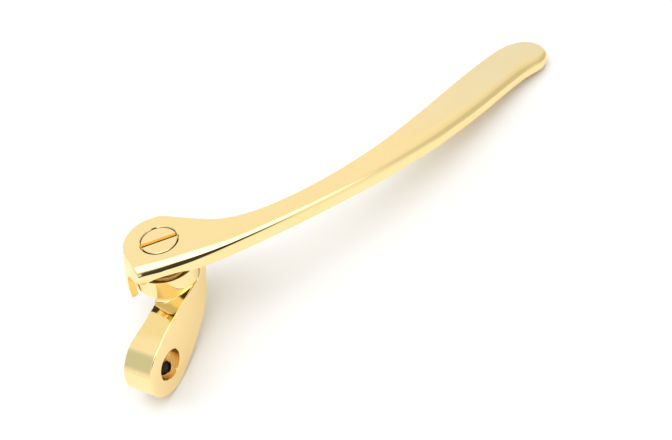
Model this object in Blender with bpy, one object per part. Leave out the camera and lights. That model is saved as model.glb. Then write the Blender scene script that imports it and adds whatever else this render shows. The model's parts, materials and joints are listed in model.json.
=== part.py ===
"""A swivelling lever handle: a long flat lever turns on a flush slotted screw over a cranked link,
and the link's eye clamps on a round shaft with one grub screw.

The world origin is the centre of the eye's bore. +Y runs along the bore, +X towards the lever's
tip and +Z up. The eye's rim and the lever's tip would rest on the plane z = -EYE_RADIUS.
Everything that belongs to the swivel is modelled in the pivot's own frame: its origin is the centre
of the lever head's top face, and its +Z is the pivot axis, which leans by PIVOT_LEAN towards +X.
"""

import math

import bmesh
import bpy
from mathutils import Matrix, Vector

MM = 0.001

# Driving dimensions, in millimetres and degrees.
GAP = 0.3                       # play between pieces that rest on or sit in each other

BORE_RADIUS = 4.75              # for a 9.5 mm shaft
EYE_RADIUS = 9.9
LINK_WIDTH = 9.5                # thickness of the link's arm and eye, along the bore

PIVOT_TOP = (26.8, 5.75, 22.2)  # centre of the lever head's top face, from the bore's centre
PIVOT_LEAN = 12.9               # the pivot axis leans this much from vertical, towards +X
LEVER_ANGLE = -31.0             # the lever's direction about the pivot axis, from the frame's +X

HEAD_RADIUS = 10.6
HEAD_WEB = 4.0                  # thickness of the lever head over the pocket
POCKET_RADIUS = 10.8
SKIRT_BULGE = 12.7              # the skirt's outer radius near its lower edge
SKIRT_DEPTH = 17.5
SKIRT_FROM = 56.0               # the skirt's two ends, counted from the lever's direction
SKIRT_TO = 178.0

BLADE_LENGTH = 138.0            # pivot axis to the middle of the tip
NECK_THICKNESS = 5.5
TIP_THICKNESS = 4.0
FRONT_BEVEL = 1.1               # width of the bevel along the lever's front edge

SCREW_HEAD_RADIUS = 5.35
SCREW_HEAD_HEIGHT = 2.1
SLOT_WIDTH = 1.5
SLOT_DEPTH = 1.1
SLOT_ANGLE = -42.0              # the slot's direction about the pivot axis
SHOULDER_RADIUS = 3.0
SHOULDER_END = 7.6
THREAD_RADIUS = 2.4
THREAD_END = 17.0

BUSH_RADIUS = 3.85
BUSH_FLANGE_RADIUS = 6.6
BUSH_FLANGE = (4.3, 4.9)        # depths of the flange's two faces below the lever's top
THRUST_WASHER = (5.2, 5.8)
WAVE_WASHER = (6.1, 7.0)
WAVE_SHEET = 0.35
WAVES = 3
WASHER_RADIUS = 6.8

HUB_RADIUS = 10.2
HUB_TOP = 7.4
HUB_BOTTOM = 13.9
BOSS_RADIUS = 7.2               # the narrower boss under the hub, which holds the nut
BOSS_BOTTOM = 17.5
NUT_POCKET_RADIUS = 5.3
NUT_POCKET_TOP = 13.6

NUT_FLATS = 8.0
NUT_SPAN = (14.7, 17.3)
LOCK_WASHER_SPAN = (13.75, 14.4)
LOCK_WASHER_RADIUS = 4.4

GRUB_RADIUS = 2.5
GRUB_SPAN = (5.2, 9.0)          # distances from the bore's centre, straight down
GRUB_SOCKET_FLATS = 2.5
GRUB_SOCKET_DEPTH = 1.8

# The lever's plan, from the pivot: distance along the lever, then across it. The front edge runs from
# the head's corner out to the tip, the tip's points go round its end, and the back edge comes home.
FRONT_EDGE = [(-10.9, -7.9), (0.0, -11.3), (14.8, -14.0), (39.0, -15.8), (66.0, -16.3), (87.0, -15.0),
              (98.0, -13.4), (111.0, -10.9), (132.0, -6.1)]
TIP_END = [(141.3, -5.2), (145.7, -2.9), (147.0, 1.2), (145.8, 5.1), (142.5, 7.9), (137.0, 9.1)]
BACK_EDGE = [(130.0, 8.3), (115.0, 4.9), (94.0, -0.9), (75.0, -5.4), (58.0, -7.7), (43.0, -8.3), (30.0, -7.2),
             (20.5, -4.3), (13.9, 0.6)]
HEAD_BLEND_ANGLE = 62.0         # where the head's round outline turns into the back edge
HEAD_CORNER_ANGLE = 196.0       # where it ends, and runs straight to the front edge's corner

# The link's side view (x, z) from the bore's centre: under the arm, up the cheek beside the hub, and back
# down to the arm's level top.
ARM_LOWER_EDGE = [(6.2, -8.9), (12.3, -6.5), (18.8, -3.3), (22.9, 0.0), (25.6, 3.4), (27.6, 7.0), (29.7, 10.8)]
CHEEK_EDGE = [(29.05, 14.0), (27.3, 12.0), (25.0, 10.1), (23.2, 9.1)]
CHEEK_CORNER = (31.0, 13.6)


def remove_everything():
    for item in list(bpy.data.objects):
        bpy.data.objects.remove(item, do_unlink=True)


def metal(name, color, roughness, metallic=1.0):
    """One Principled material."""
    material = bpy.data.materials.new(name)
    material.use_nodes = True
    shader = material.node_tree.nodes["Principled BSDF"]
    shader.inputs["Base Color"].default_value = (*color, 1.0)
    shader.inputs["Roughness"].default_value = roughness
    shader.inputs["Metallic"].default_value = metallic
    return material


def object_from(name, mesh_maker, material=None, parent=None):
    """Builds a bmesh in millimetres, and makes an object of it in metres."""
    shape = bmesh.new()
    mesh_maker(shape)
    bmesh.ops.scale(shape, vec=(MM, MM, MM), verts=shape.verts)
    bmesh.ops.recalc_face_normals(shape, faces=shape.faces)
    mesh = bpy.data.meshes.new(name)
    shape.to_mesh(mesh)
    shape.free()
    mesh.shade_smooth()
    mesh.set_sharp_from_angle(angle=math.radians(30.0))
    item = bpy.data.objects.new(name, mesh)
    bpy.context.scene.collection.objects.link(item)
    if material:
        mesh.materials.append(material)
    item.parent = parent
    return item


def boolean(target, cutter, operation):
    """Joins or cuts target with cutter, and hides the cutter."""
    cutter.hide_render = True
    cutter.display_type = "WIRE"
    step = target.modifiers.new(f"{operation.lower()}_{cutter.name}", "BOOLEAN")
    step.operation = operation
    step.solver = "EXACT"
    step.object = cutter
    return step


def extrude_outline(shape, outline, bottom, top):
    """A flat outline (points in x, y) made solid between two heights."""
    face = shape.faces.new([shape.verts.new((x, y, bottom)) for x, y in outline])
    raised = bmesh.ops.extrude_face_region(shape, geom=[face])
    moved = [part for part in raised["geom"] if isinstance(part, bmesh.types.BMVert)]
    bmesh.ops.translate(shape, vec=(0.0, 0.0, top - bottom), verts=moved)


def circle_points(radius, count, start=0.0, end=360.0, closed=True):
    """Points on a circle about the origin; a closed circle leaves out its repeated last point."""
    steps = count if closed else count - 1
    angles = [math.radians(start + (end - start) * i / steps) for i in range(count)]
    return [(radius * math.cos(a), radius * math.sin(a)) for a in angles]


def smooth_through(points, pieces):
    """A Catmull-Rom curve through the points, with some pieces in each span."""
    rows = [Vector(p) for p in points]
    rows = [2.0 * rows[0] - rows[1]] + rows + [2.0 * rows[-1] - rows[-2]]
    curve = []
    for a, b, c, d in zip(rows, rows[1:], rows[2:], rows[3:]):
        for i in range(pieces):
            t = i / pieces
            curve.append(0.5 * (2.0 * b + (c - a) * t + (2.0 * a - 5.0 * b + 4.0 * c - d) * t * t
                                + (3.0 * b - a - 3.0 * c + d) * t ** 3))
    curve.append(rows[-2])
    return [tuple(p) for p in curve]


def turned_ring(shape, profile, count, start=0.0, end=360.0):
    """A closed profile (radius, height) turned about the Z axis, all the way round or part of it."""
    full = abs(end - start) >= 360.0
    stations = count if full else count + 1
    rings = []
    for i in range(stations):
        angle = math.radians(start + (end - start) * i / count)
        ring = [shape.verts.new((r * math.cos(angle), r * math.sin(angle), z)) for r, z in profile]
        rings.append(ring)
    pairs = list(zip(rings, rings[1:]))
    if full:
        pairs.append((rings[-1], rings[0]))
    else:
        shape.faces.new(rings[0])
        shape.faces.new(list(reversed(rings[-1])))
    size = len(profile)
    for near, far in pairs:
        for j in range(size):
            k = (j + 1) % size
            shape.faces.new([near[j], near[k], far[k], far[j]])


def washer(shape, inner, outer, top, bottom, count=48):
    turned_ring(shape, [(inner, -bottom), (outer, -bottom), (outer, -top), (inner, -top)], count)


def cylinder(shape, radius, top, bottom, count=48):
    extrude_outline(shape, circle_points(radius, count), -bottom, -top)


def hexagon(flats, turn=0.0):
    return circle_points(flats / math.sqrt(3.0), 6, turn, turn + 360.0)


def lever_outline():
    """The lever seen along the pivot axis: round head, straight-ish front, narrow neck, wide tip."""
    head = circle_points(HEAD_RADIUS, 22, HEAD_BLEND_ANGLE, HEAD_CORNER_ANGLE, closed=False)
    edges = smooth_through(FRONT_EDGE + TIP_END + BACK_EDGE, 4)
    return edges + head


def on_front_edge(edge):
    """True for the top edges along the lever's front, from the head's corner round half of the tip."""
    middle = 0.5 * (edge.verts[0].co + edge.verts[1].co)
    level = all(v.co.z > -0.001 for v in edge.verts)
    front = middle.y < -9.0 if middle.x < 100.0 else middle.y < 0.0
    return level and front


def lever_blank(shape):
    """The lever's plate: level on top, its underside rising evenly from the neck to the tip."""
    extrude_outline(shape, lever_outline(), -NECK_THICKNESS, 0.0)
    rise = (NECK_THICKNESS - TIP_THICKNESS) / BLADE_LENGTH
    for vert in shape.verts:
        if vert.co.z < -1.0:
            vert.co.z += rise * max(vert.co.x, 0.0)
    edges = [e for e in shape.edges if on_front_edge(e)]
    bmesh.ops.bevel(shape, geom=edges, offset=FRONT_BEVEL, segments=1, affect="EDGES")


def skirt(shape):
    """The curved wall under the back of the head. Its ends stop against the link's arm and cheek."""
    inner = POCKET_RADIUS - 0.2
    profile = [(inner, -SKIRT_DEPTH), (SKIRT_BULGE - 0.3, -SKIRT_DEPTH), (SKIRT_BULGE, -SKIRT_DEPTH + 1.0),
               (SKIRT_BULGE, -12.0), (SKIRT_BULGE - 0.5, -8.0), (SKIRT_BULGE - 1.4, -4.0),
               (HEAD_RADIUS - 0.1, -0.9), (HEAD_RADIUS - 2.4, -1.2), (HEAD_RADIUS - 2.4, -3.2), (inner, -3.4)]
    turned_ring(shape, profile, 30, SKIRT_FROM, SKIRT_TO)


def make_lever(frame, material):
    lever = object_from("lever_arm", lever_blank, material, frame)

    def pocket(shape):
        cylinder(shape, POCKET_RADIUS, HEAD_WEB, NECK_THICKNESS + 4.0, 64)

    def screw_seat(shape):
        cylinder(shape, SCREW_HEAD_RADIUS + GAP, -2.0, SCREW_HEAD_HEIGHT + GAP, 64)

    def bush_hole(shape):
        cylinder(shape, BUSH_RADIUS + GAP, 0.5, HEAD_WEB + 2.0, 48)

    boolean(lever, object_from("cut_pocket", pocket, parent=frame), "DIFFERENCE")
    boolean(lever, object_from("join_skirt", skirt, parent=frame), "UNION")
    boolean(lever, object_from("cut_screw_seat", screw_seat, parent=frame), "DIFFERENCE")
    boolean(lever, object_from("cut_bush_hole", bush_hole, parent=frame), "DIFFERENCE")
    return lever


def screw_blank(shape):
    """The pivot screw turned as one profile: flush head, shoulder, thread and its chamfered end."""
    profile = [(0.0, -THREAD_END), (THREAD_RADIUS - 0.5, -THREAD_END), (THREAD_RADIUS, -THREAD_END + 0.5),
               (THREAD_RADIUS, -SHOULDER_END), (SHOULDER_RADIUS, -SHOULDER_END),
               (SHOULDER_RADIUS, -SCREW_HEAD_HEIGHT), (SCREW_HEAD_RADIUS, -SCREW_HEAD_HEIGHT),
               (SCREW_HEAD_RADIUS, -0.2), (SCREW_HEAD_RADIUS - 0.2, 0.0), (0.0, 0.0)]
    turned_ring(shape, profile, 48)
    bmesh.ops.remove_doubles(shape, verts=shape.verts, dist=0.001)


def make_pivot_screw(frame, material):
    screw = object_from("pivot_screw", screw_blank, material, frame)

    def slot(shape):
        bmesh.ops.create_cube(shape, size=1.0)
        bmesh.ops.scale(shape, vec=(3.0 * SCREW_HEAD_RADIUS, SLOT_WIDTH, 2.0 * SLOT_DEPTH), verts=shape.verts)
        bmesh.ops.rotate(shape, matrix=Matrix.Rotation(math.radians(SLOT_ANGLE), 3, "Z"), verts=shape.verts)

    boolean(screw, object_from("cut_slot", slot, parent=frame), "DIFFERENCE")
    return screw


def make_bush(frame, material):
    """A flanged bush that lines the lever's hole; the flange runs on the washers."""
    top = SCREW_HEAD_HEIGHT + 2.0 * GAP
    inner = SHOULDER_RADIUS + 0.15

    def bush(shape):
        profile = [(inner, -BUSH_FLANGE[1]), (BUSH_FLANGE_RADIUS, -BUSH_FLANGE[1]),
                   (BUSH_FLANGE_RADIUS, -BUSH_FLANGE[0]), (BUSH_RADIUS, -BUSH_FLANGE[0]),
                   (BUSH_RADIUS, -top), (inner, -top)]
        turned_ring(shape, profile, 48)

    return object_from("pivot_bush", bush, material, frame)


def make_thrust_washer(frame, material):
    def plain(shape):
        washer(shape, SHOULDER_RADIUS + GAP, WASHER_RADIUS, *THRUST_WASHER)

    return object_from("thrust_washer", plain, material, frame)


def make_wave_washer(frame, material):
    """A sprung steel ring, bent into three waves, that loads the swivel."""
    middle = -0.5 * (WAVE_WASHER[0] + WAVE_WASHER[1])
    swing = 0.5 * (WAVE_WASHER[1] - WAVE_WASHER[0] - WAVE_SHEET)

    def waves(shape):
        washer(shape, SHOULDER_RADIUS + 2.0 * GAP, WASHER_RADIUS - GAP, -WAVE_SHEET / 2.0, WAVE_SHEET / 2.0, 72)
        for vert in shape.verts:
            turn = math.atan2(vert.co.y, vert.co.x)
            vert.co.z += middle + swing * math.cos(WAVES * turn)

    return object_from("wave_washer", waves, material, frame)


def arm_outline():
    """The round eye, then the arm with the cheek that rises beside the hub."""
    eye = circle_points(EYE_RADIUS, 33, 92.0, 274.0, closed=False)
    lower = smooth_through(ARM_LOWER_EDGE, 3)
    return eye + lower + [CHEEK_CORNER] + CHEEK_EDGE


def make_link(frame, material):
    """Arm and eye from one side view, joined with the round hub and the boss under it, then drilled."""
    def arm(shape):
        extrude_outline(shape, arm_outline(), -LINK_WIDTH / 2.0, LINK_WIDTH / 2.0)
        # The side view was drawn flat, so it is stood up: its second axis becomes Z.
        bmesh.ops.rotate(shape, matrix=Matrix.Rotation(math.radians(90.0), 3, "X"), verts=shape.verts)
        corners = [e for e in shape.edges if abs(e.verts[0].co.y - e.verts[1].co.y) < 0.001]
        bmesh.ops.bevel(shape, geom=corners, offset=0.4, segments=1, affect="EDGES")

    def hub(shape):
        cylinder(shape, HUB_RADIUS, HUB_TOP, HUB_BOTTOM, 64)

    def boss(shape):
        cylinder(shape, BOSS_RADIUS, HUB_BOTTOM - 1.0, BOSS_BOTTOM, 64)

    def screw_hole(shape):
        cylinder(shape, THREAD_RADIUS + GAP, HUB_TOP - 1.0, BOSS_BOTTOM + 1.0, 32)

    def shoulder_seat(shape):
        cylinder(shape, SHOULDER_RADIUS + GAP, HUB_TOP - 1.0, SHOULDER_END + GAP, 32)

    def nut_pocket(shape):
        cylinder(shape, NUT_POCKET_RADIUS, NUT_POCKET_TOP, BOSS_BOTTOM + 6.0, 40)

    def shaft_bore(shape):
        cylinder(shape, BORE_RADIUS, -LINK_WIDTH, LINK_WIDTH, 64)
        bmesh.ops.rotate(shape, matrix=Matrix.Rotation(math.radians(90.0), 3, "X"), verts=shape.verts)

    def grub_hole(shape):
        cylinder(shape, GRUB_RADIUS + GAP, 2.0, EYE_RADIUS + 2.0, 32)

    link = object_from("link_bracket", arm, material)
    boolean(link, object_from("join_hub", hub, parent=frame), "UNION")
    boolean(link, object_from("join_boss", boss, parent=frame), "UNION")
    boolean(link, object_from("cut_screw_hole", screw_hole, parent=frame), "DIFFERENCE")
    boolean(link, object_from("cut_shoulder_seat", shoulder_seat, parent=frame), "DIFFERENCE")
    boolean(link, object_from("cut_nut_pocket", nut_pocket, parent=frame), "DIFFERENCE")
    boolean(link, object_from("cut_shaft_bore", shaft_bore), "DIFFERENCE")
    boolean(link, object_from("cut_grub_hole", grub_hole), "DIFFERENCE")
    return link


def make_lock_washer(frame, material):
    """A split spring washer under the nut."""
    def split(shape):
        profile = [(THREAD_RADIUS + GAP, -LOCK_WASHER_SPAN[1]), (LOCK_WASHER_RADIUS, -LOCK_WASHER_SPAN[1]),
                   (LOCK_WASHER_RADIUS, -LOCK_WASHER_SPAN[0]), (THREAD_RADIUS + GAP, -LOCK_WASHER_SPAN[0])]
        turned_ring(shape, profile, 36, 8.0, 352.0)

    return object_from("lock_washer", split, material, frame)


def make_lock_nut(frame, material):
    nut = object_from("lock_nut", lambda s: extrude_outline(s, hexagon(NUT_FLATS), -NUT_SPAN[1], -NUT_SPAN[0]),
                      material, frame)

    def hole(shape):
        cylinder(shape, THREAD_RADIUS + GAP, NUT_SPAN[0] - 1.0, NUT_SPAN[1] + 1.0, 32)

    boolean(nut, object_from("cut_nut_hole", hole, parent=frame), "DIFFERENCE")
    return nut


def make_grub_screw(material):
    """A cup-point grub screw under the bore, with its socket facing down."""
    top, bottom = GRUB_SPAN

    def blank(shape):
        profile = [(0.0, -bottom), (GRUB_RADIUS - 0.3, -bottom), (GRUB_RADIUS, -bottom + 0.3),
                   (GRUB_RADIUS, -top - 0.6), (GRUB_RADIUS - 0.8, -top), (0.0, -top - 0.5)]
        turned_ring(shape, profile, 36)
        bmesh.ops.remove_doubles(shape, verts=shape.verts, dist=0.001)

    def socket(shape):
        extrude_outline(shape, hexagon(GRUB_SOCKET_FLATS), -bottom - 1.0, -bottom + GRUB_SOCKET_DEPTH)

    grub = object_from("grub_screw", blank, material)
    boolean(grub, object_from("cut_grub_socket", socket), "DIFFERENCE")
    return grub


def empty_at(name, location, rotation, parent=None):
    empty = bpy.data.objects.new(name, None)
    bpy.context.scene.collection.objects.link(empty)
    empty.location = location
    empty.rotation_euler = rotation
    empty.parent = parent
    return empty


def main():
    remove_everything()
    gold = metal("gold_plate", (0.90, 0.66, 0.28), 0.12)
    bronze = metal("bearing_bronze", (0.55, 0.36, 0.16), 0.35)
    steel = metal("spring_steel", (0.45, 0.45, 0.47), 0.3)
    dark_steel = metal("blackened_steel", (0.05, 0.05, 0.055), 0.4)
    nylon = metal("nylon", (0.72, 0.68, 0.58), 0.5, 0.0)

    top = Vector(PIVOT_TOP) * MM
    pivot_frame = empty_at("pivot_frame", top, (0.0, math.radians(PIVOT_LEAN), 0.0))
    lever_frame = empty_at("lever_frame", (0.0, 0.0, 0.0), (0.0, 0.0, math.radians(LEVER_ANGLE)), pivot_frame)

    make_lever(lever_frame, gold)
    make_bush(lever_frame, bronze)
    make_pivot_screw(pivot_frame, gold)
    make_thrust_washer(pivot_frame, nylon)
    make_wave_washer(pivot_frame, steel)
    make_link(pivot_frame, gold)
    make_lock_washer(pivot_frame, steel)
    make_lock_nut(pivot_frame, steel)
    make_grub_screw(dark_steel)


main()
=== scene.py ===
"""The finished looks of a swivelling lever handle: a gold-plated lever that turns on a flush slotted
screw, over a cranked link whose eye clamps on a round shaft with a grub screw.

Each section makes one real piece, in the order in which the handle is put together. Pieces of the
swivel are modelled round the pivot axis, with the lever's top face at height zero, and are then laid
in place. All sizes are in millimetres until the piece is laid in place.
"""
import json
import math

import bmesh
import bpy
import numpy as np
from mathutils import Matrix, Vector


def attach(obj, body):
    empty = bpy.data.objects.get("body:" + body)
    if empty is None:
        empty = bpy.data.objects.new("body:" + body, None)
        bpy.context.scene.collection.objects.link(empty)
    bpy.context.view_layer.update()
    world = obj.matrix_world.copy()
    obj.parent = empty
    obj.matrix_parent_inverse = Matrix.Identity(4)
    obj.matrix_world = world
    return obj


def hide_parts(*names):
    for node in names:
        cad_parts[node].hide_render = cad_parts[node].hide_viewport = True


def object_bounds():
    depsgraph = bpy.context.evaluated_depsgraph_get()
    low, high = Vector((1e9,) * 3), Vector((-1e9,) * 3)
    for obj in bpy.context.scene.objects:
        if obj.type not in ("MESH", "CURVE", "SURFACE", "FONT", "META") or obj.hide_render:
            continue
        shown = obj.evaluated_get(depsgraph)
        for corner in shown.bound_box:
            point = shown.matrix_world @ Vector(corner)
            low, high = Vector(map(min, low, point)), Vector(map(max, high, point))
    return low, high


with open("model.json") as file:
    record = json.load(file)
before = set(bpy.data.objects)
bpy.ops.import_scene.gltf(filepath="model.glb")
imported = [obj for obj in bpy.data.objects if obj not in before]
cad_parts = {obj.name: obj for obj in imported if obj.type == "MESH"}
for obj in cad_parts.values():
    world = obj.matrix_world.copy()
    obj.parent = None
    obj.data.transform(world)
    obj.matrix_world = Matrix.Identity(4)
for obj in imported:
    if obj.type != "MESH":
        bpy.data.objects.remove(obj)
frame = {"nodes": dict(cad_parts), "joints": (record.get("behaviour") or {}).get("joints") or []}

cad_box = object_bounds()
MM = 0.001

# ---------------------------------------------------------------------------------------------------
# The studio: a pale table under a light tent, with a bright panel above, a dim right side and a dark
# gap behind the camera. Polished metal shows all of them, so they are laid out with care.

studio = bpy.context.scene
studio.view_settings.view_transform = "Standard"
studio.view_settings.look = "None"

CAMERA_PLACE = (-82.0, -147.7, 247.1)
CAMERA_BACK = (-0.4626, -0.3770, 0.8024)
CAMERA_UP = (0.7948, 0.2248, 0.5637)
CAMERA_LENS = 53.57

back = Vector(CAMERA_BACK).normalized()
right = Vector(CAMERA_UP).cross(back).normalized()
turned_camera = Matrix((right, back.cross(right), back)).transposed().to_4x4()
camera = bpy.data.objects.new("camera", bpy.data.cameras.new("camera"))
camera.matrix_world = Matrix.Translation(Vector(CAMERA_PLACE) * MM) @ turned_camera
camera.data.lens = CAMERA_LENS
camera.data.sensor_width = 36.0
camera.data.clip_start = 0.01
studio.collection.objects.link(camera)
studio.camera = camera

# Each panel of the tent: which way it lies, its half width in degrees, its soft rim and its brightness.
TENT_BRIGHTNESS = 0.98
PANELS = [
    ((0.02, -0.15, 0.98), 26.0, 7.0, (2.3, 2.3, 2.35)),
    ((0.75, -0.55, 0.35), 30.0, 16.0, (0.66, 0.66, 0.60)),
    ((-0.53, 0.63, 0.57), 26.0, 8.0, (0.64, 0.70, 0.69)),
    ((0.31, 0.78, 0.55), 13.0, 7.0, (0.94, 0.90, 0.76)),
    ((0.937, 0.165, 0.309), 9.0, 7.0, (0.86, 0.92, 1.08)),
    ((-0.38, -0.64, 0.66), 19.0, 4.0, (0.05, 0.05, 0.05)),
]

tent = bpy.data.worlds.new("light_tent")
studio.world = tent
tent.use_nodes = True
nodes, links = tent.node_tree.nodes, tent.node_tree.links
nodes.clear()
place = nodes.new("ShaderNodeTexCoord")
shade = nodes.new("ShaderNodeRGB")
shade.outputs[0].default_value = (TENT_BRIGHTNESS, TENT_BRIGHTNESS, TENT_BRIGHTNESS * 0.97, 1.0)
running = shade.outputs[0]
for direction, half_width, rim, brightness in PANELS:
    facing = nodes.new("ShaderNodeVectorMath")
    facing.operation = "DOT_PRODUCT"
    facing.inputs[1].default_value = Vector(direction).normalized()
    links.new(place.outputs["Generated"], facing.inputs[0])
    mask = nodes.new("ShaderNodeMapRange")
    mask.interpolation_type = "SMOOTHSTEP"
    mask.inputs["From Min"].default_value = math.cos(math.radians(half_width + rim))
    mask.inputs["From Max"].default_value = math.cos(math.radians(half_width - rim))
    links.new(facing.outputs["Value"], mask.inputs["Value"])
    mix = nodes.new("ShaderNodeMix")
    mix.data_type = "RGBA"
    mix.inputs["B"].default_value = (*brightness, 1.0)
    links.new(mask.outputs["Result"], mix.inputs["Factor"])
    links.new(running, mix.inputs["A"])
    running = mix.outputs["Result"]
glow = nodes.new("ShaderNodeBackground")
links.new(running, glow.inputs["Color"])
plain = nodes.new("ShaderNodeBackground")
plain.inputs["Color"].default_value = (1.0, 1.0, 1.0, 1.0)
seen = nodes.new("ShaderNodeLightPath")
choice = nodes.new("ShaderNodeMixShader")
links.new(seen.outputs["Is Camera Ray"], choice.inputs["Fac"])
links.new(glow.outputs["Background"], choice.inputs[1])
links.new(plain.outputs["Background"], choice.inputs[2])
out = nodes.new("ShaderNodeOutputWorld")
links.new(choice.outputs["Shader"], out.inputs["Surface"])

FLOOR_SIZE = 6.0
bpy.ops.object.select_all(action="DESELECT")
bpy.ops.mesh.primitive_plane_add(size=FLOOR_SIZE, location=(0.0, 0.0, cad_box[0].z))
table = bpy.context.active_object
table.name = "table"
paper = bpy.data.materials.new("white_table")
paper.use_nodes = True
surface = paper.node_tree.nodes["Principled BSDF"]
surface.inputs["Base Color"].default_value = (0.93, 0.93, 0.94, 1.0)
surface.inputs["Roughness"].default_value = 0.6
surface.inputs["Specular IOR Level"].default_value = 0.2
table.data.materials.append(paper)

lamp = bpy.data.objects.new("softbox", bpy.data.lights.new("softbox", "AREA"))
lamp.data.size = 0.5
lamp.data.energy = 1.2
lamp.visible_glossy = False
lamp.location = (-0.15, 0.45, 0.75)
lamp.rotation_euler = (Vector((0.0, 0.0, 0.0)) - lamp.location).to_track_quat("-Z", "Y").to_euler()
studio.collection.objects.link(lamp)

# ---------------------------------------------------------------------------------------------------
# The link: a die-cast arm and eye with a round hub at its end, polished all over and gold plated. The
# bore and the grub screw's cross hole are machined after casting, so their walls keep tool marks.

EYE_RADIUS = 9.9
ARM_WIDTH = 9.5
BORE_RADIUS = 4.75
ARM_LOWER_EDGE = [(6.2, -8.9), (12.3, -6.5), (18.8, -3.3), (22.9, 0.0), (25.6, 3.4),
                  (27.6, 7.0), (29.7, 10.8)]
CHEEK_EDGE = [(31.0, 13.6), (29.05, 14.0), (27.3, 12.0), (25.0, 10.1)]
ARM_UPPER_EDGE = [(23.2, 9.2), (18.0, 9.6), (11.5, 10.0), (5.0, 10.15), (0.8, 9.93)]
ARM_TOP_TILT = 0.20
HUB_RADIUS = 10.2
HUB_TOP = 7.4
HUB_BOTTOM = 13.9
BOSS_RADIUS = 7.2
BOSS_BOTTOM = 17.5
THREAD_HOLE_RADIUS = 2.7
NUT_POCKET_RADIUS = 5.3
NUT_POCKET_TOP = 13.6
CROSS_HOLE_RADIUS = 3.0
CAST_EDGE = 0.45

swivel = next(j for j in frame["joints"] if j["name"] == "lever_swivel")
pivot_axis = Vector(swivel["axis"]).normalized()
PIVOT_LEAN = math.atan2(pivot_axis.x, pivot_axis.z)
at_pivot = Matrix.Translation(Vector(swivel["pos_m"]) / MM) @ Matrix.Rotation(PIVOT_LEAN, 4, "Y")


def arc(radius, start, end, count):
    """Points on a circle about the origin, from one angle to the other, both in degrees."""
    angles = [math.radians(start + (end - start) * i / (count - 1)) for i in range(count)]
    return [(radius * math.cos(a), radius * math.sin(a)) for a in angles]


def eased(value, low, high):
    """0 below low, 1 above high, and a smooth rise between them."""
    t = min(1.0, max(0.0, (value - low) / (high - low)))
    return t * t * (3.0 - 2.0 * t)


def flowing(points, pieces):
    """A smooth curve that passes through the points, with some pieces between each two of them."""
    rows = [Vector(p) for p in points]
    rows = [2.0 * rows[0] - rows[1]] + rows + [2.0 * rows[-1] - rows[-2]]
    curve = []
    for a, b, c, d in zip(rows, rows[1:], rows[2:], rows[3:]):
        for i in range(pieces):
            t = i / pieces
            curve.append(0.5 * (2.0 * b + (c - a) * t + (2.0 * a - 5.0 * b + 4.0 * c - d) * t * t
                                + (3.0 * b - a - 3.0 * c + d) * t ** 3))
    curve.append(rows[-2])
    return [tuple(p) for p in curve]


def traced(name, points):
    """One corner of a new plane, drawn out by extrusion through the points. It stays in edit mode."""
    bpy.ops.object.select_all(action="DESELECT")
    bpy.ops.mesh.primitive_plane_add(size=1.0, location=(0.0, 0.0, 0.0))
    piece = bpy.context.active_object
    piece.name = name
    bpy.ops.object.mode_set(mode="EDIT")
    bpy.context.tool_settings.mesh_select_mode = (True, False, False)
    bpy.ops.mesh.merge(type="CENTER")
    bpy.ops.transform.translate(value=points[0])
    for before, after in zip(points, points[1:]):
        step = Vector(after) - Vector(before)
        bpy.ops.mesh.extrude_region_move(TRANSFORM_OT_translate={"value": step})
    bpy.ops.mesh.select_all(action="SELECT")
    return piece


def plate(name, outline, low, high):
    """A flat outline filled and pulled up between two heights."""
    piece = traced(name, [(x, y, low) for x, y in outline])
    bpy.ops.mesh.edge_face_add()
    bpy.ops.mesh.extrude_region_move(TRANSFORM_OT_translate={"value": (0.0, 0.0, high - low)})
    bpy.ops.mesh.select_all(action="SELECT")
    bpy.ops.mesh.normals_make_consistent(inside=False)
    bpy.ops.object.mode_set(mode="OBJECT")
    return piece


def turned(name, profile, steps=96, sweep=360.0, closed=False):
    """A profile of (radius, height) points spun about the Z axis, as on a lathe."""
    piece = traced(name, [(r, 0.0, z) for r, z in profile])
    if closed:
        bpy.ops.mesh.edge_face_add()
    bpy.ops.mesh.spin(steps=steps, angle=-math.radians(sweep), center=(0.0, 0.0, 0.0), axis=(0.0, 0.0, 1.0))
    bpy.ops.mesh.select_all(action="SELECT")
    bpy.ops.mesh.remove_doubles(threshold=0.001)
    bpy.ops.mesh.select_all(action="SELECT")
    bpy.ops.mesh.normals_make_consistent(inside=False)
    bpy.ops.object.mode_set(mode="OBJECT")
    return piece


def laid(piece, place):
    """Moves a piece to its place and leaves its object at the origin."""
    piece.matrix_world = place @ piece.matrix_world
    bpy.ops.object.select_all(action="DESELECT")
    piece.select_set(True)
    bpy.context.view_layer.objects.active = piece
    bpy.ops.object.transform_apply(location=True, rotation=True, scale=True)
    return piece


def worked(piece, kind, **settings):
    """Adds one modifier and applies it at once."""
    bpy.context.view_layer.objects.active = piece
    step = piece.modifiers.new(kind.lower(), kind)
    for name, value in settings.items():
        setattr(step, name, value)
    bpy.ops.object.modifier_apply(modifier=step.name)


def cut(piece, tool, operation="DIFFERENCE", self_check=False):
    """Cuts or joins a piece with another shape, which is used up. The self check is for fine edges that
    nearly touch each other."""
    worked(piece, "BOOLEAN", operation=operation, solver="EXACT", object=tool, use_self=self_check)
    bpy.data.objects.remove(tool, do_unlink=True)


def finished(piece, smooth_below=32.0):
    """Brings a piece to metres and shades it: flats stay flat, and rounds stay smooth."""
    laid(piece, Matrix.Scale(MM, 4))
    bpy.ops.object.shade_smooth_by_angle(angle=math.radians(smooth_below))
    worked(piece, "WEIGHTED_NORMAL", mode="FACE_AREA", weight=100, keep_sharp=True)
    return piece


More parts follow.
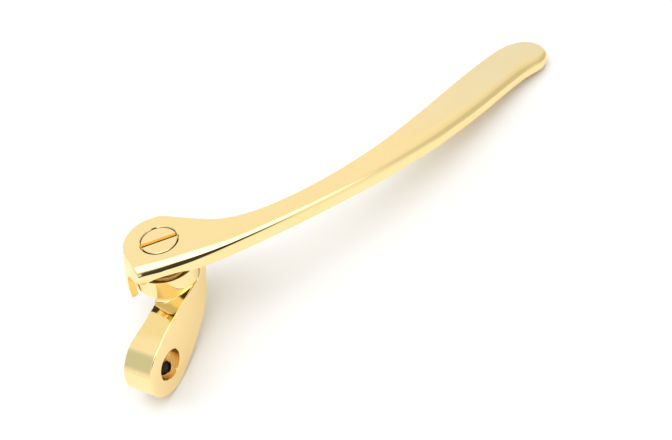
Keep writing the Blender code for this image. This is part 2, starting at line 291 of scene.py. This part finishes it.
def effect(name, inputs, outputs):
    """An empty node group with named inputs and outputs; inputs are (name, kind, value)."""
    group = bpy.data.node_groups.new(name, "ShaderNodeTree")
    for title, kind, value in inputs:
        socket = group.interface.new_socket(name=title, in_out="INPUT", socket_type=kind)
        socket.default_value = value
    for title, kind in outputs:
        group.interface.new_socket(name=title, in_out="OUTPUT", socket_type=kind)
    return group, group.nodes.new("NodeGroupInput"), group.nodes.new("NodeGroupOutput")


def node_in(tree, kind, wires=(), **settings):
    """One node with its settings, and its inputs wired or set."""
    node = tree.nodes.new(kind)
    for name, value in settings.items():
        setattr(node, name, value)
    for name, value in dict(wires).items():
        if isinstance(value, bpy.types.NodeSocket):
            tree.links.new(value, node.inputs[name])
        else:
            node.inputs[name].default_value = value
    return node


def polish_effect():
    """Hand polish on plating: a slow change of tone, thin spots, fine wheel scratches and faint waves."""
    group, given, made = effect("polish", [
        ("Color", "NodeSocketColor", (1.0, 0.8, 0.4, 1.0)),
        ("Deep Color", "NodeSocketColor", (1.0, 0.7, 0.3, 1.0)),
        ("Roughness", "NodeSocketFloat", 0.08),
        ("Scratches", "NodeSocketFloat", 0.5),
        ("Grain Turn", "NodeSocketVector", (0.0, 0.0, 0.0)),
    ], [("Color", "NodeSocketColor"), ("Roughness", "NodeSocketFloat"), ("Height", "NodeSocketFloat")])
    place = node_in(group, "ShaderNodeTexCoord").outputs["Object"]
    slow = node_in(group, "ShaderNodeTexNoise", {"Vector": place, "Scale": 55.0, "Detail": 3.0})
    fine = node_in(group, "ShaderNodeTexNoise", {"Vector": place, "Scale": 420.0, "Detail": 5.0})
    tone = node_in(group, "ShaderNodeMapRange", {
        "Value": slow.outputs["Fac"], "From Min": 0.35, "From Max": 0.7, "To Min": 0.0, "To Max": 0.35})
    color = node_in(group, "ShaderNodeMix", {
        "Factor": tone.outputs["Result"], "A": given.outputs["Color"], "B": given.outputs["Deep Color"],
    }, data_type="RGBA")
    along = node_in(group, "ShaderNodeMapping", {
        "Vector": place, "Rotation": given.outputs["Grain Turn"], "Scale": (60.0, 5200.0, 5200.0)})
    lines = node_in(group, "ShaderNodeTexNoise",
                    {"Vector": along.outputs["Vector"], "Scale": 1.0, "Detail": 2.0})
    scratch = node_in(group, "ShaderNodeMapRange", {
        "Value": lines.outputs["Fac"], "From Min": 0.62, "From Max": 0.72, "To Min": 0.0, "To Max": 1.0})
    marks = node_in(group, "ShaderNodeMath", {0: scratch.outputs["Result"], 1: given.outputs["Scratches"]},
                    operation="MULTIPLY")
    cloud = node_in(group, "ShaderNodeMapRange", {
        "Value": fine.outputs["Fac"], "From Min": 0.3, "From Max": 0.7, "To Min": 0.85, "To Max": 1.25})
    rough = node_in(group, "ShaderNodeMath", {0: cloud.outputs["Result"], 1: given.outputs["Roughness"]},
                    operation="MULTIPLY")
    rougher = node_in(group, "ShaderNodeMath", {0: marks.outputs["Value"], 1: 0.06, 2: rough.outputs["Value"]},
                      operation="MULTIPLY_ADD")
    height = node_in(group, "ShaderNodeMath", {0: marks.outputs["Value"], 1: -0.5, 2: slow.outputs["Fac"]},
                     operation="MULTIPLY_ADD")
    group.links.new(color.outputs["Result"], made.inputs["Color"])
    group.links.new(rougher.outputs["Value"], made.inputs["Roughness"])
    group.links.new(height.outputs["Value"], made.inputs["Height"])
    return group


def tool_mark_effect():
    """Rings that a boring bar or a lathe tool leaves, one behind the other along an axis."""
    group, given, made = effect("tool_marks", [
        ("Axis", "NodeSocketVector", (0.0, 1.0, 0.0)),
        ("Pitch", "NodeSocketFloat", 0.0002),
    ], [("Height", "NodeSocketFloat")])
    place = node_in(group, "ShaderNodeTexCoord").outputs["Object"]
    along = node_in(group, "ShaderNodeVectorMath", {0: place, 1: given.outputs["Axis"]}, operation="DOT_PRODUCT")
    wobble = node_in(group, "ShaderNodeTexNoise", {"Vector": place, "Scale": 900.0, "Detail": 2.0})
    turns = node_in(group, "ShaderNodeMath", {0: along.outputs["Value"], 1: given.outputs["Pitch"]},
                    operation="DIVIDE")
    uneven = node_in(group, "ShaderNodeMath", {0: wobble.outputs["Fac"], 1: 3.0, 2: turns.outputs["Value"]},
                     operation="MULTIPLY_ADD")
    ridge = node_in(group, "ShaderNodeMath", {0: uneven.outputs["Value"], 1: 0.5}, operation="PINGPONG")
    group.links.new(ridge.outputs["Value"], made.inputs["Height"])
    return group


POLISH = polish_effect()
TOOL_MARKS = tool_mark_effect()


def plated(name, color, deep, roughness, scratches, bump=0.012, grain_turn=(0.0, 0.0, 0.0)):
    """Polished gold plate with its own tone and grain direction."""
    material = bpy.data.materials.new(name)
    material.use_nodes = True
    tree = material.node_tree
    shader = tree.nodes["Principled BSDF"]
    polish = node_in(tree, "ShaderNodeGroup", node_tree=POLISH)
    polish.inputs["Color"].default_value = (*color, 1.0)
    polish.inputs["Deep Color"].default_value = (*deep, 1.0)
    polish.inputs["Roughness"].default_value = roughness
    polish.inputs["Scratches"].default_value = scratches
    polish.inputs["Grain Turn"].default_value = grain_turn
    relief = node_in(tree, "ShaderNodeBump", {
        "Height": polish.outputs["Height"], "Strength": bump, "Distance": 0.0004})
    tree.links.new(polish.outputs["Color"], shader.inputs["Base Color"])
    tree.links.new(polish.outputs["Roughness"], shader.inputs["Roughness"])
    tree.links.new(relief.outputs["Normal"], shader.inputs["Normal"])
    shader.inputs["Metallic"].default_value = 1.0
    return material


def machined(name, color, roughness, axis, pitch, bump, metallic=1.0):
    """A turned or bored surface: one colour with a little cloudiness, and fine tool rings."""
    material = bpy.data.materials.new(name)
    material.use_nodes = True
    tree = material.node_tree
    shader = tree.nodes["Principled BSDF"]
    polish = node_in(tree, "ShaderNodeGroup", node_tree=POLISH)
    polish.inputs["Color"].default_value = (*color, 1.0)
    polish.inputs["Deep Color"].default_value = (*[0.8 * c for c in color], 1.0)
    polish.inputs["Roughness"].default_value = roughness
    polish.inputs["Scratches"].default_value = 0.3
    rings = node_in(tree, "ShaderNodeGroup", node_tree=TOOL_MARKS)
    rings.inputs["Axis"].default_value = axis
    rings.inputs["Pitch"].default_value = pitch
    relief = node_in(tree, "ShaderNodeBump", {
        "Height": rings.outputs["Height"], "Strength": bump, "Distance": 0.0001})
    tree.links.new(polish.outputs["Color"], shader.inputs["Base Color"])
    tree.links.new(polish.outputs["Roughness"], shader.inputs["Roughness"])
    tree.links.new(relief.outputs["Normal"], shader.inputs["Normal"])
    shader.inputs["Metallic"].default_value = metallic
    return material


GOLD = (1.0, 0.79, 0.40)
DEEP_GOLD = (1.0, 0.74, 0.33)
link_gold = plated("link_gold", GOLD, DEEP_GOLD, 0.07, 0.25)
bored_gold = machined("bored_gold", (0.98, 0.70, 0.30), 0.16, (0.0, 1.0, 0.0), 0.0008, 0.9)

side_view = arc(EYE_RADIUS, 92.0, 274.0, 80) + flowing(ARM_LOWER_EDGE, 8) + CHEEK_EDGE
side_view += flowing(ARM_UPPER_EDGE, 5)
link = plate("link", side_view, -ARM_WIDTH / 2.0, ARM_WIDTH / 2.0)
worked(link, "BEVEL", width=CAST_EDGE, segments=4, limit_method="ANGLE", angle_limit=math.radians(60.0),
       use_clamp_overlap=False)
laid(link, Matrix.Rotation(math.radians(90.0), 4, "X"))
for point in link.data.vertices:
    if point.co.z > 8.5:
        share = eased(point.co.x, -1.0, 6.0) * (1.0 - eased(point.co.x, 22.0, 27.0))
        point.co.z -= ARM_TOP_TILT * share * point.co.y

hub = turned("hub", [(0.0, -BOSS_BOTTOM), (BOSS_RADIUS - 0.4, -BOSS_BOTTOM), (BOSS_RADIUS, -BOSS_BOTTOM + 0.4),
                     (BOSS_RADIUS, -HUB_BOTTOM), (HUB_RADIUS - 0.35, -HUB_BOTTOM),
                     (HUB_RADIUS - 0.1, -HUB_BOTTOM + 0.1), (HUB_RADIUS, -HUB_BOTTOM + 0.35),
                     (HUB_RADIUS, -HUB_TOP - 0.35), (HUB_RADIUS - 0.1, -HUB_TOP - 0.1),
                     (HUB_RADIUS - 0.35, -HUB_TOP), (0.0, -HUB_TOP)], steps=128)
cut(link, laid(hub, at_pivot), "UNION")

# The hub's foot: its wall runs down to the arm and sweeps out into it, so that no sharp corner is left.
FOOT_SWEEP = 0.9
FOOT_START = 14.0
foot = plate("foot", [(7.0, 7.6), (27.0, 7.6), (27.0, 12.5), (7.0, 12.5)], -ARM_WIDTH / 2.0 + CAST_EDGE,
             ARM_WIDTH / 2.0 - CAST_EDGE)
laid(foot, Matrix.Rotation(math.radians(90.0), 4, "X"))
sweep = [(HUB_RADIUS - 0.03 + FOOT_SWEEP * (1.0 - math.cos(a)), -FOOT_START - FOOT_SWEEP * math.sin(a))
         for a in np.linspace(math.radians(84.0), 0.0, 13)]
foot_wall = turned("foot_wall", [(0.0, -18.0), (sweep[0][0], -18.0)] + sweep
                   + [(HUB_RADIUS - 0.03, -FOOT_START + 1.0), (0.0, -FOOT_START + 1.0)], steps=128)
cut(foot, laid(foot_wall, at_pivot), "INTERSECT")
cut(link, foot, "UNION")
screw_hole = turned("screw_hole", [(0.0, -BOSS_BOTTOM - 1.0), (THREAD_HOLE_RADIUS, -BOSS_BOTTOM - 1.0),
                                   (THREAD_HOLE_RADIUS, -8.2), (3.3, -7.9), (3.3, -7.0), (0.0, -7.0)], steps=48)
cut(link, laid(screw_hole, at_pivot))
nut_pocket = turned("nut_pocket", [(0.0, -23.5), (NUT_POCKET_RADIUS, -23.5),
                                   (NUT_POCKET_RADIUS, -NUT_POCKET_TOP), (0.0, -NUT_POCKET_TOP)], steps=64)
cut(link, laid(nut_pocket, at_pivot))

half, chamfer = ARM_WIDTH / 2.0, 0.18
bore = turned("bore", [(0.0, -half - 1.0), (BORE_RADIUS + chamfer + 1.0, -half - 1.0), (BORE_RADIUS, -half + chamfer),
                       (BORE_RADIUS, half - chamfer), (BORE_RADIUS + chamfer + 1.0, half + 1.0),
                       (0.0, half + 1.0)], steps=128)
cut(link, laid(bore, Matrix.Rotation(math.radians(90.0), 4, "X")))

# The cross hole is tapped: a stack of small V grooves stands for its thread.
THREAD_PITCH = 0.8
groove, height = [(0.0, -EYE_RADIUS - 2.0), (CROSS_HOLE_RADIUS, -EYE_RADIUS - 2.0)], -EYE_RADIUS + 0.1
while height < -3.0:
    groove += [(CROSS_HOLE_RADIUS, height), (CROSS_HOLE_RADIUS - 0.38, height + THREAD_PITCH / 2.0)]
    height += THREAD_PITCH
cross_hole = turned("cross_hole", groove + [(CROSS_HOLE_RADIUS - 0.38, -2.0), (0.0, -2.0)], steps=40)
cut(link, cross_hole)

link.data.materials.clear()
link.data.materials.append(link_gold)
link.data.materials.append(bored_gold)
for face in link.data.polygons:
    middle = face.center
    in_bore = math.hypot(middle.x, middle.z) < BORE_RADIUS + 0.05 and abs(middle.y) < half - 0.02
    in_cross_hole = math.hypot(middle.x, middle.y) < CROSS_HOLE_RADIUS + 0.05 and middle.z < -BORE_RADIUS + 1.0
    face.material_index = int(in_bore or in_cross_hole)
finished(link)
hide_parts("link_bracket")
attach(link, "link")

# ---------------------------------------------------------------------------------------------------
# The lever: one die-cast piece, polished and gold plated. It is a long flat blade that bows to one
# side, with a crowned front edge, a round head, a relieved pocket below it and a skirt that wraps the hub.

LEVER_TURN = -31.0
NECK_THICKNESS = 5.5
TIP_THICKNESS = 4.0
BLADE_LENGTH = 138.0
HEAD_RADIUS = 10.6
FRONT_EDGE = [(-10.9, -7.9), (0.0, -11.3), (14.8, -14.0), (39.0, -15.8), (66.0, -16.3), (87.0, -15.0),
              (98.0, -13.4), (111.0, -10.9), (132.0, -6.1)]
TIP_END = [(141.3, -5.2), (145.7, -2.9), (147.0, 1.2), (145.8, 5.1), (142.5, 7.9), (137.0, 9.1)]
BACK_EDGE = [(130.0, 8.3), (115.0, 4.9), (94.0, -0.9), (75.0, -5.4), (58.0, -7.7), (43.0, -8.3), (30.0, -7.2),
             (20.5, -4.3), (13.9, 0.6)]
FRONT_ROUND = 1.75         # the round that turns the top down into the front
FRONT_CROWN = 3.6          # the soft crown behind that round
HEAD_CROWN = 0.9           # the same crown where it starts, at the head's corner
HEAD_FLATTENING = 0.75     # how much the round flattens to a chamfer at the head
FRONT_FALL = 0.38          # how far the crown has fallen where the round begins
PLAIN_EDGE = 0.35          # the small round on every other edge
SKIRT_DEPTH = 17.5
SKIRT_INNER = 10.6
SCREW_SEAT_RADIUS = 5.65
SCREW_SEAT_DEPTH = 2.4
BUSH_HOLE_RADIUS = 4.15
HEAD_WEB = 4.0
HEAD_FLARE = [(0.0, 0.0), (1.0, 0.25), (2.5, 0.62), (4.0, 0.95), (5.5, 1.2), (8.0, 1.6), (12.0, 2.1), (16.5, 2.1)]

at_lever = at_pivot @ Matrix.Rotation(math.radians(LEVER_TURN), 4, "Z")


OUTLINE_PIECES = 10
lever_outline = flowing(FRONT_EDGE + TIP_END + BACK_EDGE + arc(HEAD_RADIUS, 56.0, 70.0, 2), OUTLINE_PIECES)[:-1]
lever_outline += arc(HEAD_RADIUS, 70.0, 184.0, 66)
lever_outline += [(-10.75, -1.9), (-10.85, -3.9)]
ends = len(lever_outline)


def front_share(i):
    """How much of the front's crown a point has: all along the front edge, easing out round the tip."""
    passed = i / OUTLINE_PIECES
    if passed > len(FRONT_EDGE) + 4.0:
        return 0.0
    return 1.0 - eased(passed, len(FRONT_EDGE) - 1.2, len(FRONT_EDGE) + 3.6)


def inward_normals(points):
    """For each point of a closed outline that runs anticlockwise, the way in, long enough for a mitre."""
    count, ways = len(points), []
    for i in range(count):
        a, b, c = (Vector(points[(i + k) % count]) for k in (-1, 0, 1))
        first, second = (b - a).normalized(), (c - b).normalized()
        n1, n2 = Vector((-first.y, first.x)), Vector((-second.y, second.x))
        middle = (n1 + n2).normalized()
        ways.append(middle / max(0.5, middle.dot(n1)))
    return ways


ways_in = inward_normals(lever_outline)
shares = [front_share(i) for i in range(ends)]
rise = (NECK_THICKNESS - TIP_THICKNESS) / BLADE_LENGTH


def lever_ring(inward, depth_of):
    """The outline moved in by a distance for each point, at a depth for each point. The head's left wall
    cuts the crown off square, so the corner moves along that wall."""
    ring = [(x + inward[i] * ways_in[i].x, y + inward[i] * ways_in[i].y, -depth_of[i])
            for i, (x, y) in enumerate(lever_outline)]
    corner = lever_outline[0]
    ring[0] = (corner[0] + min(PLAIN_EDGE, inward[0]), corner[1] + inward[0], -depth_of[0])
    return ring


def head_share(x, y):
    """1 on the head's round back and left side, 0 on the blade and on the front."""
    if y < -7.5:
        return 0.0
    return 1.0 - eased(x, 4.0, 12.0)


heads = [head_share(x, y) for x, y in lever_outline]
rounds = [PLAIN_EDGE + (FRONT_ROUND - PLAIN_EDGE) * s for s in shares]
falls = [FRONT_FALL * s for s in shares]
crowns = [s * (HEAD_CROWN + (FRONT_CROWN - HEAD_CROWN) * eased(x, -11.0, 36.0))
          for s, (x, y) in zip(shares, lever_outline)]
drops = [r + f for r, f in zip(rounds, falls)]
flats = [HEAD_FLATTENING * s * (1.0 - eased(x, -6.0, 24.0)) for s, (x, y) in zip(shares, lever_outline)]
bottoms = [NECK_THICKNESS - rise * x for x, y in lever_outline]
CROWN_TILT = 12.0
UNDER_EDGE = 0.5

# The top edge, from the flat inwards: first the crown falls away slowly, then a round turns it down.
rings = []
for share in (1.0, 0.85, 0.7, 0.55, 0.4, 0.25, 0.12):
    rings.append(lever_ring([r + c * share for r, c in zip(rounds, crowns)],
                            [f * (1.0 - share) ** 2 for f in falls]))
for tilt in range(12, 90, 7):
    inner = (1.0 - math.sin(math.radians(tilt))) / (1.0 - math.sin(math.radians(CROWN_TILT)))
    down = 1.0 - math.cos(math.radians(tilt)) / math.cos(math.radians(CROWN_TILT))
    chord = 0.5 * (inner + 1.0 - down)
    rings.append(lever_ring([r * (inner + (chord - inner) * k) for r, k in zip(rounds, flats)],
                            [f + r * (down + (1.0 - chord - down) * k) for r, f, k in zip(rounds, falls, flats)]))
for share in (0.35, 0.7, 1.0):
    depths = [d + (b - UNDER_EDGE - d) * share for d, b in zip(drops, bottoms)]
    flare = [-h * np.interp(d, [p[0] for p in HEAD_FLARE], [p[1] for p in HEAD_FLARE])
             for h, d in zip(heads, depths)]
    rings.append(lever_ring(flare, depths))
last_flare = flare
for turn in (15.0, 30.0, 45.0, 60.0, 75.0, 90.0):
    a = math.radians(turn)
    inward = [f + UNDER_EDGE * (1.0 - math.cos(a)) for f in last_flare]
    rings.append(lever_ring(inward, [b - UNDER_EDGE * (1.0 - math.sin(a)) for b in bottoms]))

rings[-1] = [(x, y, rise * x - NECK_THICKNESS) for x, y, z in rings[-1]]

lever = traced("lever", rings[0])
bpy.ops.mesh.edge_face_add()
shape = bmesh.from_edit_mesh(lever.data)
spot = shape.verts.layers.int.new("spot")
first_ring = np.array(rings[0])
for point in shape.verts:
    point[spot] = int(np.argmin(((first_ring - np.array(point.co)) ** 2).sum(axis=1)))
for ring in rings[1:]:
    bpy.ops.mesh.extrude_region_move()
    shape = bmesh.from_edit_mesh(lever.data)
    spot = shape.verts.layers.int["spot"]
    for point in [v for v in shape.verts if v.select]:
        point.co = ring[point[spot]]
    bmesh.update_edit_mesh(lever.data)
bpy.ops.object.mode_set(mode="OBJECT")
lever.data.attributes.remove(lever.data.attributes["spot"])
bpy.ops.object.mode_set(mode="EDIT")
bpy.ops.mesh.select_all(action="SELECT")
bpy.ops.mesh.remove_doubles(threshold=0.002)
bpy.ops.mesh.select_all(action="SELECT")
bpy.ops.mesh.normals_make_consistent(inside=False)
bpy.ops.object.mode_set(mode="OBJECT")

# The pocket under the head: flat where the bush runs, with a flared relief that breaks out of the front.
relief = turned("relief", [(0.0, -9.0), (17.0, -9.0), (13.2, -5.6), (11.6, -4.35), (10.5, -3.75), (9.6, -3.6),
                           (9.2, -HEAD_WEB), (0.0, -HEAD_WEB)], steps=128)
cut(lever, relief, self_check=True)

# The skirt goes round behind the head. Its outer face carries the head's flare all the way down.
outer = [(HEAD_RADIUS + f, -d) for d, f in HEAD_FLARE]
outer[0] = (HEAD_RADIUS - PLAIN_EDGE, 0.0)
skirt_profile = [(8.0, -3.0), (8.0, -0.004), (HEAD_RADIUS - PLAIN_EDGE, -0.004), (HEAD_RADIUS - 0.12, -0.1),
                 (HEAD_RADIUS + 0.03, -0.36)] + outer[1:]
skirt_profile += [(HEAD_RADIUS + 2.0, -17.1), (HEAD_RADIUS + 1.7, -SKIRT_DEPTH), (SKIRT_INNER + 0.3, -SKIRT_DEPTH),
                  (SKIRT_INNER, -17.2), (SKIRT_INNER, -5.6), (10.1, -4.3), (9.2, -3.8)]
SKIRT_FROM, SKIRT_TO = 58.0, 202.0
skirt = turned("skirt", skirt_profile, steps=80, sweep=SKIRT_TO - SKIRT_FROM, closed=True)
laid(skirt, Matrix.Rotation(math.radians(SKIRT_FROM), 4, "Z"))

# Its end is trimmed to a tongue: a hollow round under the plate, a straight edge, and a round foot.
TONGUE_EDGE = 0.0
hollow = [(TONGUE_EDGE - 3.2 + 3.2 * math.sin(a), -9.0 + 3.2 * math.cos(a))
          for a in np.linspace(0.0, math.pi / 2.0, 12)]
foot_round = [(TONGUE_EDGE + 2.6 - 2.6 * math.cos(a), -SKIRT_DEPTH + 2.6 - 2.6 * math.sin(a))
              for a in np.linspace(0.0, math.pi / 2.0, 12)]
trim = plate("trim", [(-14.0, -5.8)] + hollow + foot_round + [(TONGUE_EDGE + 2.6, -20.0), (-14.0, -20.0)], 0.0, 9.0)
stood = Matrix(((0.0, 0.0, 1.0, -16.5), (1.0, 0.0, 0.0, 0.0), (0.0, 1.0, 0.0, 0.0), (0.0, 0.0, 0.0, 1.0)))
cut(skirt, laid(trim, stood))
cut(lever, skirt, "UNION", self_check=True)

seat = turned("seat", [(0.0, -SCREW_SEAT_DEPTH), (SCREW_SEAT_RADIUS, -SCREW_SEAT_DEPTH),
                       (SCREW_SEAT_RADIUS, -0.22), (SCREW_SEAT_RADIUS + 1.22, 1.0), (0.0, 1.0)], steps=96)
cut(lever, seat, self_check=True)
bush_hole = turned("bush_hole", [(0.0, -6.0), (BUSH_HOLE_RADIUS, -6.0), (BUSH_HOLE_RADIUS, -1.0), (0.0, -1.0)],
                   steps=64)
cut(lever, bush_hole, self_check=True)
laid(lever, at_lever)
lever_gold = plated("lever_gold", GOLD, DEEP_GOLD, 0.07, 0.25, grain_turn=(0.0, 0.0, math.radians(-LEVER_TURN)))
lever.data.materials.clear()
lever.data.materials.append(lever_gold)
finished(lever)
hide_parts("lever_arm")
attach(lever, "lever")

# ---------------------------------------------------------------------------------------------------
# The pivot screw: a turned shoulder screw with a wide flat head, slotted with a saw, then plated. Its
# shoulder lets the lever turn, and its thread goes through the hub into the lock nut.

SCREW_HEAD_RADIUS = 5.35
SCREW_HEAD_HEIGHT = 2.1
SLOT_WIDTH = 1.5
SLOT_DEPTH = 1.1
SLOT_ANGLE = -42.0
SHOULDER_RADIUS = 3.0
SHOULDER_END = 7.6
THREAD_RADIUS = 2.4
THREAD_END = 17.0
HEAD_CHAMFER = 0.22

profile, height = [(0.0, -THREAD_END), (THREAD_RADIUS - 0.5, -THREAD_END)], -THREAD_END + 0.5
while height < -SHOULDER_END - 1.0:
    profile += [(THREAD_RADIUS, height), (THREAD_RADIUS - 0.42, height + THREAD_PITCH / 2.0)]
    height += THREAD_PITCH
profile += [(THREAD_RADIUS - 0.42, -SHOULDER_END), (SHOULDER_RADIUS - 0.2, -SHOULDER_END),
            (SHOULDER_RADIUS, -SHOULDER_END + 0.2), (SHOULDER_RADIUS, -SCREW_HEAD_HEIGHT),
            (SCREW_HEAD_RADIUS - 0.1, -SCREW_HEAD_HEIGHT), (SCREW_HEAD_RADIUS, -SCREW_HEAD_HEIGHT + 0.1),
            (SCREW_HEAD_RADIUS, -HEAD_CHAMFER), (SCREW_HEAD_RADIUS - 0.08, -0.08),
            (SCREW_HEAD_RADIUS - HEAD_CHAMFER, 0.0), (0.0, 0.0)]
screw = turned("screw", profile, steps=96)
bpy.ops.object.select_all(action="DESELECT")
bpy.ops.mesh.primitive_cube_add(size=1.0, location=(0.0, 0.0, 0.0))
saw = bpy.context.active_object
saw.scale = (3.0 * SCREW_HEAD_RADIUS, SLOT_WIDTH, 2.0 * SLOT_DEPTH)
bpy.ops.object.transform_apply(location=True, rotation=True, scale=True)
laid(saw, Matrix.Rotation(math.radians(SLOT_ANGLE), 4, "Z"))
cut(screw, saw)
laid(screw, at_pivot)
screw_gold = plated("screw_gold", GOLD, DEEP_GOLD, 0.08, 0.4)
screw.data.materials.clear()
screw.data.materials.append(screw_gold)
finished(screw)
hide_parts("pivot_screw")
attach(screw, "link")

# ---------------------------------------------------------------------------------------------------
# Inside the pivot: a turned bronze bush lines the lever's hole, a nylon washer and a sprung steel washer
# run under its flange, and a split washer sits above the nut.

bronze = machined("bearing_bronze", (0.62, 0.36, 0.16), 0.28, tuple(pivot_axis), 0.0003, 0.3)
washer_steel = machined("washer_steel", (0.48, 0.47, 0.46), 0.3, (1.0, 0.0, 0.0), 0.0006, 0.15)
nylon = machined("nylon", (0.72, 0.70, 0.63), 0.5, tuple(pivot_axis), 0.0004, 0.1, metallic=0.0)
for node, material in (("pivot_bush", bronze), ("thrust_washer", nylon), ("wave_washer", washer_steel),
                       ("lock_washer", washer_steel)):
    for place in frame["nodes"][node].material_slots:
        place.material = material

# ---------------------------------------------------------------------------------------------------
# The lock nut: a plated hexagon nut, chamfered on both faces, that locks the screw under the link's boss.

NUT_FLATS = 8.0
NUT_TOP, NUT_BOTTOM = 14.7, 17.3
NUT_CHAMFER = 0.45

nut_corner = NUT_FLATS / math.sqrt(3.0)
nut = plate("nut", arc(nut_corner, 0.0, 300.0, 6), -NUT_BOTTOM, -NUT_TOP)
nut_round = turned("nut_round", [(0.0, -NUT_BOTTOM - 0.01), (nut_corner - NUT_CHAMFER, -NUT_BOTTOM - 0.01),
                                 (nut_corner + 0.1, -NUT_BOTTOM + NUT_CHAMFER / 2.0),
                                 (nut_corner + 0.1, -NUT_TOP - NUT_CHAMFER / 2.0),
                                 (nut_corner - NUT_CHAMFER, -NUT_TOP + 0.01), (0.0, -NUT_TOP + 0.01)], steps=72)
cut(nut, nut_round, "INTERSECT")
nut_hole = turned("nut_hole", [(0.0, -NUT_BOTTOM - 1.0), (THREAD_HOLE_RADIUS + 1.35, -NUT_BOTTOM - 1.0),
                               (THREAD_HOLE_RADIUS, -NUT_BOTTOM + 0.35), (THREAD_HOLE_RADIUS, -NUT_TOP - 0.35),
                               (THREAD_HOLE_RADIUS + 1.35, -NUT_TOP + 1.0), (0.0, -NUT_TOP + 1.0)], steps=48)
cut(nut, nut_hole)
laid(nut, at_pivot)
nut_steel = machined("nut_steel", (0.50, 0.49, 0.47), 0.26, tuple(pivot_axis), 0.0005, 0.2)
nut.data.materials.clear()
nut.data.materials.append(nut_steel)
finished(nut, 25.0)
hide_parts("lock_nut")
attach(nut, "link")

# ---------------------------------------------------------------------------------------------------
# The grub screw: blackened steel with a rolled thread, a cup point that bites the shaft, and a hexagon
# socket in its foot. It goes up through the eye's cross hole.

GRUB_RADIUS = 2.5
GRUB_TOP, GRUB_FOOT = 5.2, 9.0
SOCKET_FLATS = 2.5
SOCKET_DEPTH = 1.8

profile, height = [(0.0, -GRUB_FOOT), (GRUB_RADIUS - 0.5, -GRUB_FOOT)], -GRUB_FOOT + 0.4
while height < -GRUB_TOP - 1.0:
    profile += [(GRUB_RADIUS, height), (GRUB_RADIUS - 0.4, height + THREAD_PITCH / 2.0)]
    height += THREAD_PITCH
profile += [(GRUB_RADIUS - 0.4, -GRUB_TOP - 0.7), (GRUB_RADIUS - 0.95, -GRUB_TOP - 0.02),
            (GRUB_RADIUS - 1.1, -GRUB_TOP - 0.02), (0.0, -GRUB_TOP - 0.9)]
grub = turned("grub", profile, steps=48)
socket = plate("socket", arc(SOCKET_FLATS / math.sqrt(3.0), 0.0, 300.0, 6), -GRUB_FOOT - 1.0,
               -GRUB_FOOT + SOCKET_DEPTH)
cut(grub, socket)
black_steel = machined("black_steel", (0.045, 0.042, 0.040), 0.38, (0.0, 0.0, 1.0), 0.0004, 0.25, metallic=0.9)
grub.data.materials.clear()
grub.data.materials.append(black_steel)
finished(grub)
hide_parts("grub_screw")
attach(grub, "grub")
